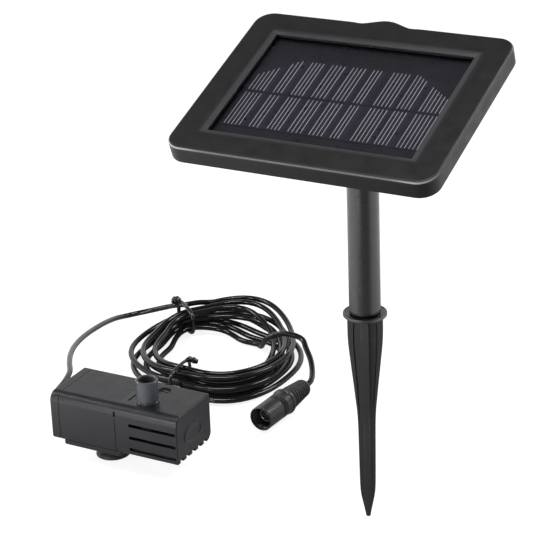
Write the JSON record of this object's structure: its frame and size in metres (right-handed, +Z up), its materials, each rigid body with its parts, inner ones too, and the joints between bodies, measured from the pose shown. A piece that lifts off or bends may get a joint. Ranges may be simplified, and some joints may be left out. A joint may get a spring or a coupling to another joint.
{
  "type": "solar fountain pump",
  "caption": "Solar fountain pump kit: framed solar panel tilting on a stake-mounted post, submersible pump with top outlet and suction foot, and a tied cable coil with a round screw connector.",
  "frame": {"origin": "centre of the flat tip of the ground stake, at floor level", "axes": "+Z up along the post, +X along the panel's long side and the pump's length towards its intake end, +Y from the panel's low edge towards its high edge"},
  "size_m": [0.3811, 0.3172, 0.3064],
  "materials": {
    "panel_plastic": "fine-grained satin black moulding",
    "stake_plastic": "satin black moulding",
    "post_paint": "satin black paint on a metal tube",
    "pump_plastic": "matt charcoal moulding",
    "cable_pvc": "glossy black sheath",
    "black_rubber": "soft black",
    "solar_cell": "dark blue-violet cell with fine light fingers",
    "circuit_board": "dark laminate",
    "clear_sheet": "clear laminated sheet",
    "steel": "plated steel",
    "copper_wire": null,
    "lamination_steel": null,
    "ferrite": null,
    "impeller_plastic": "light grey moulding",
    "ceramic": "polished ceramic shaft",
    "bush_plastic": "bearing plastic",
    "red_insulation": "red wire insulation",
    "black_insulation": "black wire insulation"
  },
  "bodies": {
    "stake": {"ground_stake": "stake_plastic"},
    "post": {"post_tube": "post_paint", "post_head": "stake_plastic"},
    "panel_head": {"panel_bezel": "panel_plastic", "clear_sheet": "clear_sheet", "cell_row_upper": "solar_cell", "cell_row_lower": "solar_cell", "backing_board": "circuit_board", "back_cover": "panel_plastic", "cover_screw_1": "steel", "cover_screw_2": "steel", "cover_screw_3": "steel", "cover_screw_4": "steel", "dc_socket_shell": "pump_plastic", "dc_socket_contact": "steel", "positive_lead": "red_insulation", "negative_lead": "black_insulation", "tilt_bolt": "steel"},
    "knob": {"tilt_knob": "stake_plastic"},
    "pump_set": {"motor_housing": "pump_plastic", "rear_cap": "pump_plastic", "cable_grommet": "black_rubber", "stator_core": "lamination_steel", "stator_winding_front": "copper_wire", "stator_winding_rear": "copper_wire", "driver_board": "circuit_board", "rotor_shaft": "ceramic", "volute_cover": "pump_plastic", "volute_o_ring": "black_rubber", "base_plate": "pump_plastic", "suction_cup": "black_rubber", "pump_cable": "cable_pvc", "twist_tie_1": "black_rubber", "twist_tie_2": "black_rubber", "connector_body": "black_rubber", "connector_boot": "black_rubber", "contact_sleeve": "steel", "contact_pin": "steel", "connector_o_ring": "black_rubber"},
    "rotor": {"rotor_magnet": "ferrite", "rotor_bush_front": "bush_plastic", "rotor_bush_rear": "bush_plastic", "impeller": "impeller_plastic"},
    "cover": {"intake_cover": "pump_plastic", "end_badge": "pump_plastic"},
    "regulator": {"flow_regulator": "stake_plastic"},
    "nut": {"coupling_nut": "black_rubber"}
  },
  "joints": [
    {"name": "post_swivel", "type": "hinge", "parent": "stake", "child": "post", "pos_m": [0, 0, 0.1389], "axis": [0, 0, 1], "continuous": true},
    {"name": "panel_tilt", "type": "hinge", "parent": "post", "child": "panel_head", "pos_m": [0, 0, 0.2659], "axis": [1, 0, 0], "range_deg": [-20.8, 59]},
    {"name": "knob_turn", "type": "hinge", "parent": "panel_head", "child": "knob", "pos_m": [0, 0, 0.2659], "axis": [1, 0, 0], "continuous": true},
    {"name": "pump_set_slide", "type": "slide", "parent": "stake", "child": "pump_set", "axis": [-1, 0, 0], "range_m": [0, 0.3]},
    {"name": "rotor_spin", "type": "hinge", "parent": "pump_set", "child": "rotor", "pos_m": [-0.17345, 0.00355, 0.03185], "axis": [1, 0, 0], "continuous": true},
    {"name": "cover_slide", "type": "slide", "parent": "pump_set", "child": "cover", "axis": [1, 0, 0], "range_m": [0, 0.03]},
    {"name": "regulator_turn", "type": "hinge", "parent": "cover", "child": "regulator", "pos_m": [-0.155, 0.01575, 0.0477], "axis": [0, 0, 1], "range_deg": [-45, 45]},
    {"name": "nut_turn", "type": "hinge", "parent": "pump_set", "child": "nut", "pos_m": [-0.115, 0.0709, 0.0096], "axis": [0.068, 0.9977, 0], "continuous": true}
  ]
}
